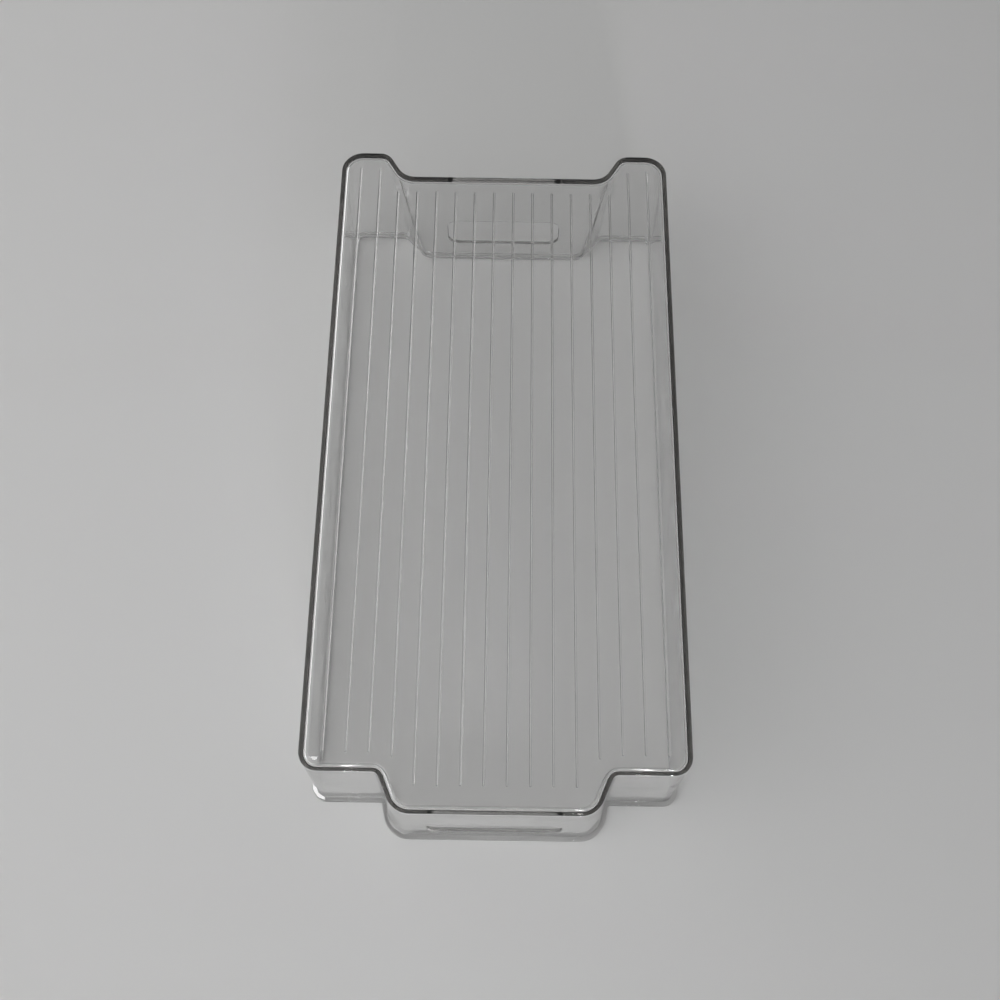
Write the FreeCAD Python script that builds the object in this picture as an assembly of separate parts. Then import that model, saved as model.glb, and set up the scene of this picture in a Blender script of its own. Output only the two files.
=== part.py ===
import FreeCAD, Part
import math
import os

# A clear drawer bin for a fridge, injection moulded in one piece.
#
# The bin is an open box. It lies upside down, on its open rim, with its base
# panel on top. X runs across the bin. Y runs along it, from the end with the
# tab to the end with the notch. Z is up. The origin is on the plane of the
# rim, under the middle of the bin. All sizes are in millimetres.

# --- Driving sizes: the base panel, seen in plan ---------------------------
base_width = 192.0            # across the base panel
base_length = 379.4           # from the front of the tab to the far ears
bin_height = 93.0             # from the open rim to the outer face of the base

tab_reach = 19.4              # how far the tab stands out from the near ears
tab_front_width = 98.0        # across the front of the tab, between its corners
tab_root_width = 115.0        # across the tab where it meets the near ears

notch_depth = 16.2            # how far the notch is set in from the far ears
notch_floor_width = 118.0     # across the bottom of the notch
notch_mouth_width = 138.0     # across the notch where it meets the far ears

# --- Driving sizes: walls --------------------------------------------------
wall_thickness = 2.0
base_thickness = 2.0
side_draft = 2.5              # degrees that the side and end walls lean out
notch_draft = 3.2             # degrees for the wall at the bottom of the notch
notch_flank_draft = 5.2       # degrees for the two short walls beside it
tab_flare = 6.0               # how much further the tab's corners spread at the rim

# --- Driving sizes: upright corners, measured on the outside ---------------
outer_corner_radius = 11.0
ear_corner_radius = 8.5       # where a far ear turns into the notch
notch_corner_radius = 10.0    # at the bottom of the notch
tab_root_radius = 4.0         # where a near ear turns into the tab
tab_corner_radius = 12.0

# --- Driving sizes: edges --------------------------------------------------
base_edge_radius = 1.0        # outer edge of the base panel
base_inner_radius = 2.0       # inside, where the walls meet the base
lip_reach = 2.4               # how far the rim's lip stands out from the wall
lip_height = 4.5
lip_edge_radius = 1.2         # upper outer edge of the lip

# --- Driving sizes: ribs on the inner face of the base ---------------------
rib_count = 16
rib_height = 0.5
rib_root_width = 1.6
rib_crest_width = 0.9
rib_gap = 9.0                 # from a rib's end to the outside of the bin
rib_gap_tab = 13.0            # the same, at the front of the tab

# --- Driving sizes: finger slots, one in the tab and one in the notch ------
slot_width = 70.0
slot_height = 25.0
slot_corner_radius = 7.0
slot_above_rim = 21.0         # from the rim to the slot's nearer edge

# --- Places worked out from the sizes --------------------------------------
y_far_ears = base_length / 2
y_notch = y_far_ears - notch_depth
y_tab = -base_length / 2
y_near_ears = y_tab + tab_reach
z_floor = bin_height - base_thickness
end_lean = bin_height * math.tan(math.radians(max(side_draft, notch_draft)))
same_place = 1e-4             # points closer together than this are one point

# The upright corners of the bin at the base panel, on its right half. They run
# clockwise from the bottom of the notch to the front of the tab.
right_corners = [
    FreeCAD.Vector(notch_floor_width / 2, y_notch, bin_height),
    FreeCAD.Vector(notch_mouth_width / 2, y_far_ears, bin_height),
    FreeCAD.Vector(base_width / 2, y_far_ears, bin_height),
    FreeCAD.Vector(base_width / 2, y_near_ears, bin_height),
    FreeCAD.Vector(tab_root_width / 2, y_near_ears, bin_height),
    FreeCAD.Vector(tab_front_width / 2, y_tab, bin_height),
]
right_radii = [notch_corner_radius, ear_corner_radius, outer_corner_radius,
               outer_corner_radius, tab_root_radius, tab_corner_radius]
right_turns = [-1, 1, 1, 1, -1, 1]    # 1 where the outline turns outward, -1 inward
tab_corner = len(right_corners) - 1

# The draft of the wall that follows each corner.
right_drafts = [notch_flank_draft, side_draft, side_draft, side_draft, side_draft]

base_corners = right_corners + [FreeCAD.Vector(-p.x, p.y, p.z) for p in reversed(right_corners)]
corner_radii = right_radii + right_radii[::-1]
corner_turns = right_turns + right_turns[::-1]
wall_drafts = right_drafts + [side_draft] + right_drafts[::-1] + [notch_draft]
corner_count = len(base_corners)


def moved_out(points, moves):
    """The corners of a clockwise outline after side i has moved out by moves[i]."""
    sides = []
    for i in range(corner_count):
        along = (points[(i + 1) % corner_count] - points[i]).normalize()
        outward = FreeCAD.Vector(-along.y, along.x, 0)
        sides.append((points[i] + outward * moves[i], along, outward))
    moved = []
    for i in range(corner_count):
        start, along, outward = sides[i - 1]
        next_start, next_along, next_outward = sides[i]
        travel = (next_start - start).dot(next_outward) / along.dot(next_outward)
        moved.append(start + along * travel)
    return moved


def find_rim_corners():
    """The same corners at the rim, where each wall has leaned out."""
    spreads = [bin_height * math.tan(math.radians(draft)) for draft in wall_drafts]
    corners = moved_out(base_corners, spreads)
    corners[tab_corner].x += tab_flare
    corners[tab_corner + 1].x -= tab_flare
    return [FreeCAD.Vector(p.x, p.y, 0) for p in corners]


rim_corners = find_rim_corners()


def outline(z, grow):
    """The sharp corners of the walls at height z, with every wall moved out by grow."""
    share = z / bin_height
    points = [rim + (base - rim) * share for rim, base in zip(rim_corners, base_corners)]
    return moved_out(points, [grow] * corner_count)


def flat_face(points):
    """A flat face inside a closed line through the points."""
    return Part.Face(Part.makePolygon(points + points[:1]))


def wall_face(low_start, low_end, high_end, high_start):
    """One face of a wall, twisted where its two level edges aren't parallel."""
    turn = (low_end - low_start).cross(high_end - high_start).Length
    if turn < same_place:
        return flat_face([low_start, low_end, high_end, high_start])
    low = Part.makeLine(low_start, low_end)
    high = Part.makeLine(high_start, high_end)
    return Part.makeRuledSurface(low, high)


def edges_at(shape, z):
    """The edges of a shape that lie level at height z."""
    found = []
    for edge in shape.Edges:
        box = edge.BoundBox
        if abs(box.ZMin - z) < same_place and abs(box.ZMax - z) < same_place:
            found.append(edge)
    return found


def block(z_low, z_high, grow):
    """A solid with leaning walls and rounded upright corners."""
    low = outline(z_low, grow)
    high = outline(z_high, grow)
    faces = [flat_face(low), flat_face(high)]
    for i in range(corner_count):
        j = (i + 1) % corner_count
        faces.append(wall_face(low[i], low[j], high[j], high[i]))
    solid = Part.Solid(Part.Shell(faces))
    for i in range(corner_count):
        middle = (low[i] + high[i]) / 2
        upright = [e for e in solid.Edges if (e.CenterOfMass - middle).Length < same_place]
        radius = corner_radii[i] + corner_turns[i] * grow
        solid = solid.makeFillet(radius, upright)
    return solid


def make_outside():
    """The whole outer form: leaning walls, closed base, and the rim's lip."""
    walls = block(0, bin_height, 0)
    walls = walls.makeFillet(base_edge_radius, edges_at(walls, bin_height))
    lip = block(0, lip_height, lip_reach)
    lip = lip.makeFillet(lip_edge_radius, edges_at(lip, lip_height))
    return walls.fuse(lip)


def make_hollow():
    """The space inside the bin, with a round edge where it meets the base."""
    below_rim = -base_thickness
    hollow = block(below_rim, z_floor, -wall_thickness)
    return hollow.makeFillet(base_inner_radius, edges_at(hollow, z_floor))


def find_rib_field():
    """The part of the base panel that the ribs may cover."""
    moves = [-rib_gap] * corner_count
    moves[tab_corner] = -rib_gap_tab
    return flat_face(moved_out(base_corners, moves))


def make_rib(x, y_start, y_end):
    """A low straight bar with sloping sides and ends, under the base panel."""
    half_root = rib_root_width / 2
    half_crest = rib_crest_width / 2
    slope = half_root - half_crest
    length = y_end - y_start
    rib = Part.makeWedge(-half_root, 0, 0, slope, -half_crest,
                         half_root, rib_height, length, length - slope, half_crest)
    rib.rotate(FreeCAD.Vector(0, 0, 0), FreeCAD.Vector(1, 0, 0), -90)
    rib.translate(FreeCAD.Vector(x, y_start, z_floor))
    return rib


def make_ribs():
    """Even ribs that divide the base panel into strips of one width."""
    field = find_rib_field()
    pitch = base_width / (rib_count + 1)
    ribs = []
    for i in range(rib_count):
        x = -base_width / 2 + pitch * (i + 1)
        line = Part.makeLine(FreeCAD.Vector(x, y_tab, bin_height),
                             FreeCAD.Vector(x, y_far_ears, bin_height))
        span = line.common(field).BoundBox
        ribs.append(make_rib(x, span.YMin, span.YMax))
    return ribs


def make_slot(y):
    """A cutter for a finger slot, long enough for a leaning wall that starts at y."""
    reach = end_lean + wall_thickness
    start = FreeCAD.Vector(-slot_width / 2, y - reach, slot_above_rim)
    cutter = Part.makeBox(slot_width, 2 * reach, slot_height, start)
    along_y = [e for e in cutter.Edges if e.BoundBox.YLength > reach]
    return cutter.makeFillet(slot_corner_radius, along_y)


def make_bin():
    """The finished moulding."""
    shape = make_outside().cut(make_hollow())
    shape = shape.fuse(make_ribs())
    shape = shape.cut([make_slot(y_notch), make_slot(y_tab)])
    return shape.removeSplitter()


os.makedirs("parts", exist_ok=True)
organizer_bin = make_bin()
organizer_bin.exportStep("parts/organizer_bin.step")
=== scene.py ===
"""A clear drawer bin for a fridge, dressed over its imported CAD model.

The bin lies upside down on its open rim, with its base panel on top. X runs
across it, Y along it from the tab end to the notch end, and Z is up. All
lengths are in metres.
"""

import math

import bmesh
import bpy
from bpy.props import FloatProperty, FloatVectorProperty, IntProperty, PointerProperty
from mathutils import Matrix, Vector


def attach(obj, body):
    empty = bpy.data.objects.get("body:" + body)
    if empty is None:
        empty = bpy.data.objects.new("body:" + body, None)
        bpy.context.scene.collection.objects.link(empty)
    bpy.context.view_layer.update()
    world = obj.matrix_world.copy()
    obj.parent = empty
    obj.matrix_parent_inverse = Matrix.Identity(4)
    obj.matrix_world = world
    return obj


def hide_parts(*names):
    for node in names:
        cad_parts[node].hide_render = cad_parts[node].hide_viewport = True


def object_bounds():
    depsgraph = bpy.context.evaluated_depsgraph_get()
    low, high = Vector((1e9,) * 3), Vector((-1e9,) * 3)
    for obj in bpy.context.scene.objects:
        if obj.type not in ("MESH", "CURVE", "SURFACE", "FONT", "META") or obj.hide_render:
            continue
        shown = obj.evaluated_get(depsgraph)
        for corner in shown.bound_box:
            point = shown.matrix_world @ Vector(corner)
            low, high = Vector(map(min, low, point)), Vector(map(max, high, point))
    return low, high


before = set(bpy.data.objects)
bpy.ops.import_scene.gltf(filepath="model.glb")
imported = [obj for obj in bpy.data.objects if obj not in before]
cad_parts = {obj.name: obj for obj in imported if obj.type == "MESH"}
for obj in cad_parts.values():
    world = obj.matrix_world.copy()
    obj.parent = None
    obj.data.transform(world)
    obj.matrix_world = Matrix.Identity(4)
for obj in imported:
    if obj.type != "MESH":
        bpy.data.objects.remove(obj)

bl_info = {
    "name": "Fridge drawer bin",
    "version": (1, 0, 0),
    "blender": (4, 5, 0),
    "location": "View3D > Sidebar > Fridge bin",
    "description": "Makes a clear moulded drawer bin for a fridge, and a plain studio for it",
    "category": "Add Mesh",
}

CAD_NODE = "organizer_bin"

cad_low, cad_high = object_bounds()
MM = 0.001

# The gap between the floor and the rim, so that the two never lie in one plane.
FLOOR_GAP = 0.6 * MM

# Rays that leave the scene after a bounce see the backdrop up to the second of these heights of
# their direction, and the soft light from above the first.
LIGHT_FROM, BACKDROP_UP_TO = 0.25, 0.05

# The marks on the plastic: the scale and detail of each noise, and for the first two the levels
# between which a mark fades in.
SMUDGE_SCALE, SMUDGE_DETAIL, SMUDGE_LEVELS = 22.0, 4.0, (0.50, 0.72)
SCRATCH_SCALE, SCRATCH_DETAIL, SCRATCH_LEVELS = (900.0, 26.0, 26.0), 2.0, (0.70, 0.78)
RIPPLE_SCALE, RIPPLE_DETAIL, RIPPLE_STRENGTH, RIPPLE_HEIGHT = 35.0, 1.0, 0.05, 1.0 * MM

# Name, place, width and height, radiance and spread in degrees of each lamp.
LAMPS = (
    ("key", (-1.45, -1.20, 1.70), (2.4, 2.3), 1.9, 180),
    ("window", (-1.9, 0.45, 1.3), (3.0, 1.8), 1.15, 180),
    ("spot_corner", (-0.49, 0.02, 2.30), (0.10, 0.10), 16.0, 180),
    ("spot_left", (-0.42, -2.8, 0.80), (0.022, 1.0), 150.0, 40),
    ("spot_tab", (0.25, -2.8, 0.80), (0.022, 1.0), 150.0, 40),
    ("spot_inner", (0.433, -2.8, 0.80), (0.022, 1.0), 150.0, 40),
    ("spot_outer", (0.525, -2.8, 0.80), (0.022, 1.0), 150.0, 40),
)


def length(name, default, description):
    """A length that the user may change."""
    return FloatProperty(name=name, description=description, default=default,
                         min=0.0, unit="LENGTH", precision=5)


def factor(name, default, description, low=0.0, high=1.0):
    """A plain number that the user may change."""
    return FloatProperty(name=name, description=description, default=default,
                         min=low, max=high, precision=4)


def angle(name, default, description):
    """An angle, given here in degrees, that the user may change."""
    return FloatProperty(name=name, description=description, default=math.radians(default),
                         subtype="ANGLE", unit="ROTATION")


def colour(name, default, description):
    """A colour that the user may change."""
    return FloatVectorProperty(name=name, description=description, default=default,
                               subtype="COLOR", size=3, min=0.0, max=1.0)


class BinSizes(bpy.types.PropertyGroup):
    """The forms of the moulding."""

    base_width: length("Base width", 192 * MM, "Across the base panel")
    base_length: length("Base length", 379.4 * MM, "From the tab's front to the far ears")
    height: length("Height", cad_high.z - cad_low.z, "From the open rim to the base panel")
    tab_reach: length("Tab reach", 19.4 * MM, "How far the tab stands out")
    tab_front_width: length("Tab front width", 98 * MM, "Across the front of the tab, at the base")
    tab_root_width: length("Tab root width", 115 * MM, "Across the root of the tab, at the base")
    tab_front_width_rim: length("Tab front at the rim", 116 * MM,
                                "Across the tab's front, at the rim")
    tab_root_width_rim: length("Tab root at the rim", 122 * MM, "Across the tab's root, at the rim")
    notch_depth: length("Notch depth", 16.2 * MM, "How far the notch is set in")
    notch_floor_width: length("Notch floor width", 118 * MM,
                              "Across the notch's bottom, at the base")
    notch_mouth_width: length("Notch mouth width", 138 * MM,
                              "Across the notch's mouth, at the base")
    notch_floor_width_rim: length("Notch floor at the rim", 101 * MM,
                                  "Across the notch's bottom, at the rim")
    notch_mouth_width_rim: length("Notch mouth at the rim", 127 * MM,
                                  "Across the notch's mouth, at the rim")
    wall_thickness: length("Wall thickness", 2.0 * MM, "Of the upright walls")
    base_thickness: length("Base thickness", 2.0 * MM, "Of the base panel")
    side_draft: angle("Side draft", 2.5, "How far the side and end walls lean out")
    notch_draft: angle("Notch draft", 3.2, "How far the wall at the bottom of the notch leans out")
    base_edge_radius: length("Base edge radius", 0.35 * MM, "On the outer edge of the base panel")
    base_inner_radius: length("Inner edge radius", 3.0 * MM,
                              "Inside, where the walls meet the base")
    lip_reach: length("Lip reach", 2.4 * MM, "How far the rim's lip stands out")
    lip_height: length("Lip height", 3.0 * MM, "Of the rim's lip")
    lip_edge_radius: length("Lip edge radius", 0.5 * MM, "On the lip's upper outer edge")
    lip_root_radius: length("Lip root radius", 0.3 * MM, "Where the lip meets the wall")
    rim_edge_radius: length("Rim edge radius", 0.3 * MM, "On both edges of the rim's face")
    rib_count: IntProperty(name="Ribs", description="Ribs on the base panel", default=16, min=0)
    rib_height: length("Rib height", 0.5 * MM, "Of each rib on the inner face")
    rib_width: length("Rib width", 1.7 * MM, "Of each rib at its root")
    rib_gap: length("Rib gap", 9 * MM, "From a rib's end to the outside of the bin")
    rib_gap_tab: length("Rib gap at the tab", 13 * MM, "The same, at the front of the tab")
    slot_width: length("Slot width", 70 * MM, "Of each finger slot")
    slot_height: length("Slot height", 25 * MM, "Of each finger slot")
    slot_corner_radius: length("Slot corner radius", 7 * MM, "Of each finger slot")
    slot_above_rim: length("Slot above the rim", 21 * MM, "From the rim to the slot")
    slot_edge_radius: length("Slot edge radius", 0.8 * MM, "On both edges of each slot")
    corner_steps: IntProperty(name="Corner steps", description="Faces round each upright corner",
                              default=14, min=2)
    edge_steps: IntProperty(name="Edge steps", description="Faces across each rounded edge",
                            default=5, min=1)


class BinFinish(bpy.types.PropertyGroup):
    """The clear plastic."""

    refraction: factor("Refraction", 1.57, "The plastic's index of refraction", 1.0, 2.5)
    body: colour("Body", (0.955, 0.955, 0.955), "What each face lets through")
    smoke: colour("Smoke", (0.866, 0.862, 0.858), "The colour left by the plastic's tint")
    smoke_density: factor("Smoke density", 85.0, "How fast the tint takes light off, per metre",
                          0.0, 1e4)
    polish: factor("Polish", 0.012, "The roughness of clean, polished plastic")
    smudge: factor("Smudge", 0.05, "How much rougher a handled patch is")
    scratch: factor("Scratch", 0.12, "How much rougher a fine scratch is")


class StudioSetup(bpy.types.PropertyGroup):
    """The floor, the light and the camera."""

    floor_colour: colour("Floor", (0.60, 0.60, 0.595), "The pale floor")
    floor_size: length("Floor size", 6.0, "Each side of the floor")
    world_strength: factor("World strength", 0.24, "The soft light from above", 0.0, 10.0)
    lens: factor("Lens", 39.8, "In millimetres, on a sensor 36 mm wide", 1.0, 500.0)
    camera_place: FloatVectorProperty(name="Camera place", description="Where the camera stands",
                                      default=(-0.0006, -0.2321, 0.6394), size=3,
                                      subtype="TRANSLATION", unit="LENGTH", precision=5)
    camera_tilt: angle("Camera tilt", 20.34, "From straight down towards the notch end")
    camera_roll: angle("Camera roll", 1.10, "Turn about the camera's own axis")
    camera_yaw: angle("Camera yaw", -0.26, "Turn about the upright")


# --- Shader maths -------------------------------------------------------------

class Value:
    """A socket that holds a number, which can be used in an expression."""

    def __init__(self, graph, socket):
        self.graph = graph
        self.socket = socket

    def maths(self, operation, *terms):
        """The result of one Math node."""
        node = self.graph.node("ShaderNodeMath", {"operation": operation}, *terms)
        return Value(self.graph, node.outputs[0])

    def __add__(self, other):
        return self.maths("ADD", self, other)

    def __mul__(self, other):
        return self.maths("MULTIPLY", self, other)

    def larger(self, other):
        """The larger of the two."""
        return self.maths("MAXIMUM", self, other)

    __radd__ = __add__
    __rmul__ = __mul__

    def ramp(self, start, end):
        """0 up to the start, 1 from the end on, and smooth between them."""
        node = self.graph.node("ShaderNodeMapRange", {"interpolation_type": "SMOOTHSTEP"},
                               self, start, end)
        return Value(self.graph, node.outputs["Result"])


class Graph:
    """The nodes of one material or world."""

    def __init__(self, owner):
        owner.use_nodes = True
        self.tree = owner.node_tree
        self.tree.nodes.clear()

    def node(self, kind, settings=None, *terms, **named):
        """Adds a node: its settings first, then the values or links of its sockets."""
        node = self.tree.nodes.new(kind)
        for key, setting in (settings or {}).items():
            setattr(node, key, setting)
        for place, term in enumerate(terms):
            self.feed(node.inputs[place], term)
        for key, term in named.items():
            self.feed(node.inputs[key.replace("_", " ")], term)
        return node

    def feed(self, socket, term):
        """Links a socket, or sets its value."""
        if isinstance(term, Value):
            term = term.socket
        if isinstance(term, bpy.types.NodeSocket):
            self.tree.links.new(term, socket)
        else:
            socket.default_value = term

    def value(self, node, output=0):
        """A node's output as a number."""
        return Value(self, node.outputs[output])

    def noise(self, place, scale, detail):
        """Noise between 0 and 1 over the object."""
        return self.value(self.node("ShaderNodeTexNoise", {}, Vector=place, Scale=scale,
                                    Detail=detail))


def clear_plastic(finish):
    """Polished clear plastic with a grey tint, faint handling marks and a slight ripple."""
    material = bpy.data.materials.new("clear_plastic")
    graph = Graph(material)
    place = graph.node("ShaderNodeTexCoord").outputs["Object"]

    smudges = graph.noise(place, SMUDGE_SCALE, SMUDGE_DETAIL).ramp(*SMUDGE_LEVELS)
    stretched = graph.node("ShaderNodeMapping", {}, Vector=place, Scale=SCRATCH_SCALE).outputs[0]
    scratches = graph.noise(stretched, 1.0, SCRATCH_DETAIL).ramp(*SCRATCH_LEVELS)
    roughness = finish.polish + smudges * finish.smudge + scratches * finish.scratch

    ripple = graph.noise(place, RIPPLE_SCALE, RIPPLE_DETAIL)
    bump = graph.node("ShaderNodeBump", {}, Strength=RIPPLE_STRENGTH, Distance=RIPPLE_HEIGHT,
                      Height=ripple)

    plastic = graph.node("ShaderNodeBsdfPrincipled", {}, Roughness=roughness, IOR=finish.refraction,
                         Transmission_Weight=1.0, Base_Color=(*finish.body, 1.0),
                         Normal=bump.outputs[0])
    tint = graph.node("ShaderNodeVolumeAbsorption", {}, Color=(*finish.smoke, 1.0),
                      Density=finish.smoke_density)
    graph.node("ShaderNodeOutputMaterial", {}, Surface=plastic.outputs[0], Volume=tint.outputs[0])
    return material


def pale_floor(setup):
    """A plain matt floor."""
    material = bpy.data.materials.new("pale_floor")
    graph = Graph(material)
    matt = graph.node("ShaderNodeBsdfDiffuse", {}, Color=(*setup.floor_colour, 1.0))
    graph.node("ShaderNodeOutputMaterial", {}, Surface=matt.outputs[0])
    return material


# --- The moulding -------------------------------------------------------------

class Outline:
    """The closed line round the bin's outside, at any height and at any offset from the walls."""

    # The corners of the right half, clockwise: the bottom of the notch, its mouth, the far outer
    # corner, the near outer corner, the tab's root and the tab's front. The left half mirrors them.
    TURNS = [-1, 1, 1, 1, -1, 1]      # 1 turns outward, -1 inward
    TAB_CORNER = len(TURNS) - 1
    BASE_RADII = [11.5 * MM, 8.5 * MM, 12.5 * MM, 9.3 * MM, 4.0 * MM, 12.0 * MM]
    RIM_RADII = [8.0 * MM, 8.5 * MM, 6.5 * MM, 6.5 * MM, 4.0 * MM, 13.0 * MM]

    def __init__(self, sizes):
        self.height = sizes.height
        self.steps = sizes.corner_steps
        self.turns = self.TURNS + self.TURNS[::-1]
        self.base_radii = self.BASE_RADII + self.BASE_RADII[::-1]
        self.rim_radii = self.RIM_RADII + self.RIM_RADII[::-1]
        half_width = sizes.base_width / 2
        y_ears = sizes.base_length / 2
        y_notch = y_ears - sizes.notch_depth
        y_tab = -sizes.base_length / 2
        y_near = y_tab + sizes.tab_reach
        self.base = self.both_halves([
            (sizes.notch_floor_width / 2, y_notch),
            (sizes.notch_mouth_width / 2, y_ears),
            (half_width, y_ears),
            (half_width, y_near),
            (sizes.tab_root_width / 2, y_near),
            (sizes.tab_front_width / 2, y_tab)])
        lean = self.height * math.tan(sizes.side_draft)
        notch_lean = self.height * math.tan(sizes.notch_draft)
        self.rim = self.both_halves([
            (sizes.notch_floor_width_rim / 2, y_notch + notch_lean),
            (sizes.notch_mouth_width_rim / 2, y_ears + lean),
            (half_width + lean, y_ears + lean),
            (half_width + lean, y_near - lean),
            (sizes.tab_root_width_rim / 2, y_near - lean),
            (sizes.tab_front_width_rim / 2, y_tab - lean)])

    @staticmethod
    def both_halves(right):
        """The corners of both halves, clockwise from above."""
        return [Vector(p) for p in right] + [Vector((-x, y)) for x, y in reversed(right)]

    def ring(self, z, grow=0.0):
        """The points of the outline at height z, moved out from the walls by grow."""
        share = z / self.height
        corners = [rim.lerp(base, share) for rim, base in zip(self.rim, self.base)]
        count = len(corners)
        points = []
        for i in range(count):
            before = (corners[i] - corners[i - 1]).normalized()
            after = (corners[(i + 1) % count] - corners[i]).normalized()
            radius = self.rim_radii[i] + (self.base_radii[i] - self.rim_radii[i]) * share
            points += self.corner(corners[i], before, after, radius, self.turns[i], grow)
        return [Vector((p.x, p.y, z)) for p in points]

    def corner(self, point, before, after, radius, turn, grow):
        """The arc that rounds one corner."""
        half_turn = before.angle(after) / 2
        inward = (after - before).normalized()
        centre = point + inward * (radius / math.cos(half_turn))
        radius += grow * turn
        arc = []
        for step in range(self.steps + 1):
            swing = half_turn * (2 * step / self.steps - 1)
            arm = Vector((-inward.x, -inward.y))
            arm.rotate(Matrix.Rotation(-swing * turn, 2))
            arc.append(centre + arm * radius)
        return arc

    def corner_end(self, corner):
        """The place in a ring of a corner's last point."""
        return (corner + 1) * (self.steps + 1) - 1


def quarter(steps):
    """Pairs (sine, 1 - cosine) from 0 to 90 degrees."""
    turns = [math.pi / 2 * step / steps for step in range(steps + 1)]
    return [(math.sin(turn), 1 - math.cos(turn)) for turn in turns]


# The rounded edges between the outer face of the base panel and the inner face of the walls: the
# base panel's edge, the lip's root, the lip's edge, and both edges of the rim.
ROUNDS_BEFORE_INNER_WALL = 5


def wall_levels(sizes):
    """(height, offset) of each ring, from the base panel's outer face round to its inner face."""
    edge = quarter(sizes.edge_steps)
    wall = -sizes.wall_thickness
    z_floor = sizes.height - sizes.base_thickness
    levels = []
    radius = sizes.base_edge_radius
    levels += [(sizes.height - radius * fall, -radius + radius * run) for run, fall in edge]
    radius = sizes.lip_root_radius
    levels += [(sizes.lip_height + radius - radius * run, radius * fall) for run, fall in edge]
    radius = sizes.lip_edge_radius
    levels += [(sizes.lip_height - radius * fall, sizes.lip_reach - radius + radius * run)
               for run, fall in edge]
    radius = sizes.rim_edge_radius
    levels += [(radius - radius * run, sizes.lip_reach - radius * fall) for run, fall in edge]
    levels += [(radius * fall, wall + radius - radius * run) for run, fall in edge]
    radius = sizes.base_inner_radius
    levels += [(z_floor - radius + radius * run, wall - radius * fall)
               for run, fall in quarter(2 * sizes.edge_steps)]
    return levels


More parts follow.
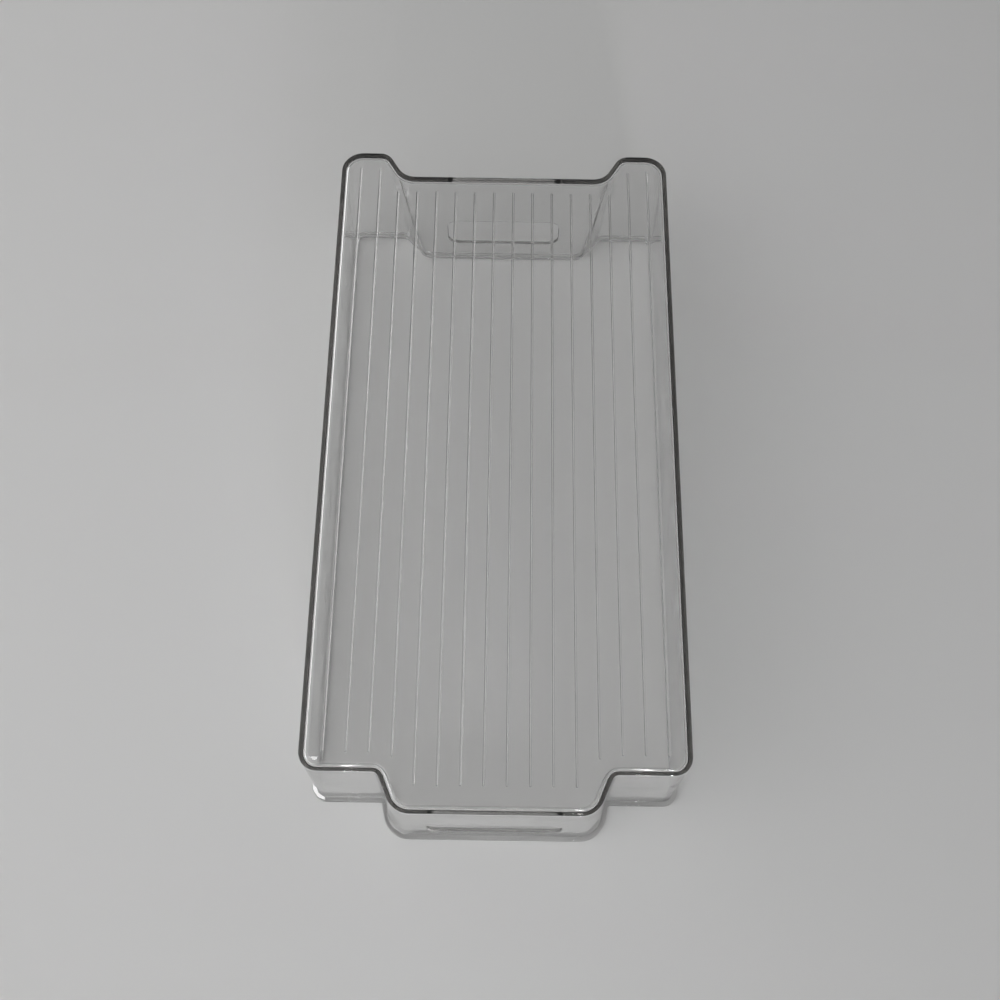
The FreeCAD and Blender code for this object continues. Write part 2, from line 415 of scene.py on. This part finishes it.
class Moulding:
    """Builds the bin's mesh."""

    def __init__(self, sizes):
        self.sizes = sizes
        self.mesh = bmesh.new()
        self.outline = Outline(sizes)

    def ring(self, points):
        """The vertices of a closed line."""
        return [self.mesh.verts.new(p) for p in points]

    def strip(self, first, second, skip=()):
        """Quads between two closed lines of as many points."""
        count = len(first)
        for i in range(count):
            if i not in skip:
                j = (i + 1) % count
                self.mesh.faces.new((first[i], first[j], second[j], second[i]))

    def make(self):
        """The whole moulding as a new mesh."""
        sizes = self.sizes
        last_corner = len(self.outline.turns) - 1
        slotted = (self.outline.corner_end(self.outline.TAB_CORNER),
                   self.outline.corner_end(last_corner))
        rings = [self.ring(self.outline.ring(z, grow)) for z, grow in wall_levels(sizes)]
        outer_wall = sizes.edge_steps
        inner_wall = ROUNDS_BEFORE_INNER_WALL * (sizes.edge_steps + 1) - 1
        for i in range(len(rings) - 1):
            walls = i in (outer_wall, inner_wall)
            self.strip(rings[i], rings[i + 1], slotted if walls else ())
        self.mesh.faces.new(rings[0])
        self.base_with_ribs(rings[-1])
        for side in slotted:
            self.slot(side, rings[outer_wall:outer_wall + 2], rings[inner_wall:inner_wall + 2])
        bmesh.ops.recalc_face_normals(self.mesh, faces=self.mesh.faces)
        mesh = bpy.data.meshes.new("clear_bin")
        self.mesh.to_mesh(mesh)
        self.mesh.free()
        return mesh

    def base_with_ribs(self, border):
        """The base panel's inner face, with its ribs."""
        sizes = self.sizes
        z_floor = sizes.height - sizes.base_thickness
        edges = [self.mesh.edges.get((border[i - 1], border[i])) for i in range(len(border))]
        pitch = sizes.base_width / (sizes.rib_count + 1)
        for i in range(sizes.rib_count):
            x = -sizes.base_width / 2 + pitch * (i + 1)
            start, end = self.rib_span(x)
            foot = self.rib(x, start, end, z_floor)
            edges += [self.mesh.edges.get((foot[j - 1], foot[j])) for j in range(len(foot))]
        bmesh.ops.triangle_fill(self.mesh, use_beauty=True, edges=edges)

    def rib_field(self):
        """The corners of the part of the base panel that the ribs may cover."""
        sizes = self.sizes
        base = self.outline.base
        count = len(base)
        sides = []
        for i in range(count):
            along = (base[(i + 1) % count] - base[i]).normalized()
            gap = sizes.rib_gap_tab if i == self.outline.TAB_CORNER else sizes.rib_gap
            sides.append((base[i] + Vector((along.y, -along.x)) * gap, along))
        field = []
        for (start, along), (next_start, next_along) in zip(sides[-1:] + sides[:-1], sides):
            across = Vector((-next_along.y, next_along.x))
            field.append(start + along * ((next_start - start).dot(across) / along.dot(across)))
        return field

    def rib_span(self, x):
        """Where the rib at x starts and ends."""
        field = self.rib_field()
        crossings = []
        for a, b in zip(field, field[1:] + field[:1]):
            if (a.x - x) * (b.x - x) < 0:
                crossings.append(a.y + (b.y - a.y) * (x - a.x) / (b.x - a.x))
        return min(crossings), max(crossings)

    def rib(self, x, y_start, y_end, z_foot):
        """A low rounded ridge that hangs from the inner face. Gives back its foot."""
        sizes = self.sizes
        steps = sizes.edge_steps
        half = sizes.rib_width / 2
        rings = []
        for level in range(steps):
            share = level / steps
            width = half * (1 - share)
            drop = sizes.rib_height * (1 - math.cos(math.pi * share)) / 2
            points = []
            for y, first in ((y_end - half, 0.0), (y_start + half, math.pi)):
                for step in range(steps + 1):
                    turn = first + math.pi * step / steps
                    points.append(Vector((x + width * math.cos(turn), y + width * math.sin(turn),
                                          z_foot - drop)))
            rings.append(self.ring(points))
        for first, second in zip(rings, rings[1:]):
            self.strip(first, second)
        self.mesh.faces.new(rings[-1])
        return rings[0]

    def slot(self, side, outer, inner):
        """A finger slot through one straight wall, with rounded edges."""
        sizes = self.sizes
        edge = sizes.slot_edge_radius
        outer_frame = self.frame(side, outer)
        inner_frame = self.frame(side, inner)
        loops = []
        for run, fall in quarter(sizes.edge_steps):
            loops.append(self.slot_loop(outer_frame, inner_frame, edge - edge * run, edge * fall))
        for run, fall in reversed(quarter(sizes.edge_steps)):
            loops.append(self.slot_loop(inner_frame, outer_frame, edge - edge * run, edge * fall))
        for first, second in zip(loops, loops[1:]):
            self.strip(first, second)
        self.wall_round_slot(outer_frame, loops[0])
        self.wall_round_slot(inner_frame, loops[-1])

    def frame(self, side, pair):
        """The wall's straight stretch: its upper start, upper end, lower end and lower start."""
        upper, lower = pair
        if upper[0].co.z < lower[0].co.z:
            upper, lower = lower, upper
        after = (side + 1) % len(upper)
        return [upper[side], upper[after], lower[after], lower[side]]

    def slot_loop(self, near_frame, far_frame, grow, depth):
        """A line round the slot, grown by grow, at a depth below the near face of the wall."""
        sizes = self.sizes
        radius = sizes.slot_corner_radius + grow
        half_width = sizes.slot_width / 2 - sizes.slot_corner_radius
        middle = sizes.slot_above_rim + sizes.slot_height / 2
        half_height = sizes.slot_height / 2 - sizes.slot_corner_radius
        inward = 1 if far_frame[0].co.y > near_frame[0].co.y else -1
        sign = 1 if near_frame[1].co.x > near_frame[0].co.x else -1
        points = []
        for corner, (sx, sz) in enumerate(((1, 1), (1, -1), (-1, -1), (-1, 1))):
            for step in range(sizes.edge_steps * 2 + 1):
                turn = math.pi / 2 * (1 - corner - step / (sizes.edge_steps * 2))
                x = sign * (sx * half_width + radius * math.cos(turn))
                z = middle + sz * half_height + radius * math.sin(turn)
                points.append(Vector((x, self.wall_y(near_frame, z) + inward * depth, z)))
        return self.ring(points)

    @staticmethod
    def wall_y(wall, z):
        """Where the face of a leaning wall lies at height z."""
        top, bottom = wall[0].co, wall[3].co
        return bottom.y + (top.y - bottom.y) * (z - bottom.z) / (top.z - bottom.z)

    def wall_round_slot(self, wall, loop):
        """Four flat faces between the wall's straight stretch and the slot."""
        count = len(loop)
        per_corner = count // 4
        half = per_corner // 2
        upper_start, upper_end, lower_end, lower_start = wall
        corners = [upper_end, lower_end, lower_start, upper_start]
        marks = [half + per_corner * i for i in range(4)]
        for i in range(4):
            start, end = marks[i], marks[(i + 1) % 4]
            run = [loop[(start + k) % count] for k in range((end - start) % count + 1)]
            self.mesh.faces.new([corners[i], corners[(i + 1) % 4]] + run[::-1])


class FRIDGEBIN_OT_make_bin(bpy.types.Operator):
    """Make the clear bin"""

    bl_idname = "fridge_bin.make_bin"
    bl_label = "Clear bin"

    def execute(self, context):
        scene = context.scene
        mesh = Moulding(scene.bin_sizes).make()
        mesh.materials.append(clear_plastic(scene.bin_finish))
        clear_bin = bpy.data.objects.new("clear_bin", mesh)
        scene.collection.objects.link(clear_bin)
        mesh.shade_smooth()
        even = clear_bin.modifiers.new("even_normals", "WEIGHTED_NORMAL")
        even.mode = "FACE_AREA"
        even.weight = 100
        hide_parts(CAD_NODE)
        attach(clear_bin, "root")
        return {"FINISHED"}


class FRIDGEBIN_OT_make_stage(bpy.types.Operator):
    """Make the floor, the light and the camera"""

    bl_idname = "fridge_bin.make_stage"
    bl_label = "Studio"

    def execute(self, context):
        scene = context.scene
        setup = scene.bin_studio
        self.make_floor(scene, setup)
        self.make_world(scene, setup)
        self.make_lamps(scene)
        self.make_camera(scene, setup)
        scene.view_settings.view_transform = "Standard"
        scene.cycles.max_bounces = 32
        scene.cycles.transmission_bounces = 24
        scene.cycles.glossy_bounces = 16
        scene.cycles.blur_glossy = 0.0
        return {"FINISHED"}

    def make_floor(self, scene, setup):
        half = setup.floor_size / 2
        mesh = bpy.data.meshes.new("floor")
        z = cad_low.z - FLOOR_GAP
        corners = [(-half, -half, z), (half, -half, z), (half, half, z), (-half, half, z)]
        mesh.from_pydata(corners, [], [(0, 1, 2, 3)])
        mesh.materials.append(pale_floor(setup))
        floor = bpy.data.objects.new("floor", mesh)
        scene.collection.objects.link(floor)

    def make_world(self, scene, setup):
        world = bpy.data.worlds.new("studio")
        scene.world = world
        graph = Graph(world)
        path = graph.node("ShaderNodeLightPath")
        outward = graph.node("ShaderNodeTexCoord").outputs["Generated"]
        rise = graph.value(graph.node("ShaderNodeSeparateXYZ", {}, outward), "Z")
        bent = graph.value(path, "Is Transmission Ray").larger(graph.value(path, "Is Glossy Ray"))
        seen = graph.value(path, "Is Camera Ray") + rise.ramp(LIGHT_FROM, BACKDROP_UP_TO) * bent
        light = graph.node("ShaderNodeBackground", {}, Color=(1.0, 1.0, 1.0, 1.0),
                           Strength=setup.world_strength)
        backdrop = graph.node("ShaderNodeBackground", {}, Color=(*setup.floor_colour, 1.0),
                              Strength=1.0)
        either = graph.node("ShaderNodeMixShader", {}, seen, light.outputs[0], backdrop.outputs[0])
        graph.node("ShaderNodeOutputWorld", {}, Surface=either.outputs[0])

    def make_lamps(self, scene):
        target = (cad_low + cad_high) / 2
        for name, place, size, radiance, spread in LAMPS:
            lamp = bpy.data.lights.new(name, "AREA")
            lamp.shape = "RECTANGLE"
            lamp.size, lamp.size_y = size
            lamp.spread = math.radians(spread)
            half = lamp.spread / 2
            focus = 1 - half / math.tan(half)
            lamp.energy = radiance * math.pi * size[0] * size[1] * focus
            light = bpy.data.objects.new(name, lamp)
            light.location = place
            light.rotation_mode = "QUATERNION"
            light.rotation_quaternion = (target - Vector(place)).to_track_quat("-Z", "Y")
            scene.collection.objects.link(light)

    def make_camera(self, scene, setup):
        camera = bpy.data.cameras.new("camera")
        camera.sensor_width = 36.0
        camera.lens = setup.lens
        camera.clip_start = 0.01
        eye = bpy.data.objects.new("camera", camera)
        turn = (Matrix.Rotation(setup.camera_yaw, 4, "Z")
                @ Matrix.Rotation(setup.camera_tilt, 4, "X")
                @ Matrix.Rotation(setup.camera_roll, 4, "Z"))
        eye.matrix_world = Matrix.Translation(setup.camera_place) @ turn
        scene.collection.objects.link(eye)
        scene.camera = eye


class FRIDGEBIN_PT_panel(bpy.types.Panel):
    """Lists what can be made, and its sizes and colours"""

    bl_idname = "FRIDGEBIN_PT_panel"
    bl_label = "Fridge bin"
    bl_space_type = "VIEW_3D"
    bl_region_type = "UI"
    bl_category = "Fridge bin"

    def draw(self, context):
        layout = self.layout
        for operator in (FRIDGEBIN_OT_make_bin, FRIDGEBIN_OT_make_stage):
            layout.operator(operator.bl_idname)
        for group in (context.scene.bin_sizes, context.scene.bin_finish, context.scene.bin_studio):
            box = layout.box()
            for key in group.bl_rna.properties.keys():
                if key not in ("rna_type", "name"):
                    box.prop(group, key)


CLASSES = (BinSizes, BinFinish, StudioSetup, FRIDGEBIN_OT_make_bin, FRIDGEBIN_OT_make_stage,
           FRIDGEBIN_PT_panel)


def register():
    for one in CLASSES:
        bpy.utils.register_class(one)
    bpy.types.Scene.bin_sizes = PointerProperty(type=BinSizes)
    bpy.types.Scene.bin_finish = PointerProperty(type=BinFinish)
    bpy.types.Scene.bin_studio = PointerProperty(type=StudioSetup)


def unregister():
    del bpy.types.Scene.bin_studio
    del bpy.types.Scene.bin_finish
    del bpy.types.Scene.bin_sizes
    for one in reversed(CLASSES):
        bpy.utils.unregister_class(one)


def main():
    register()
    bpy.ops.fridge_bin.make_bin()
    bpy.ops.fridge_bin.make_stage()


if __name__ == "__main__":
    main()
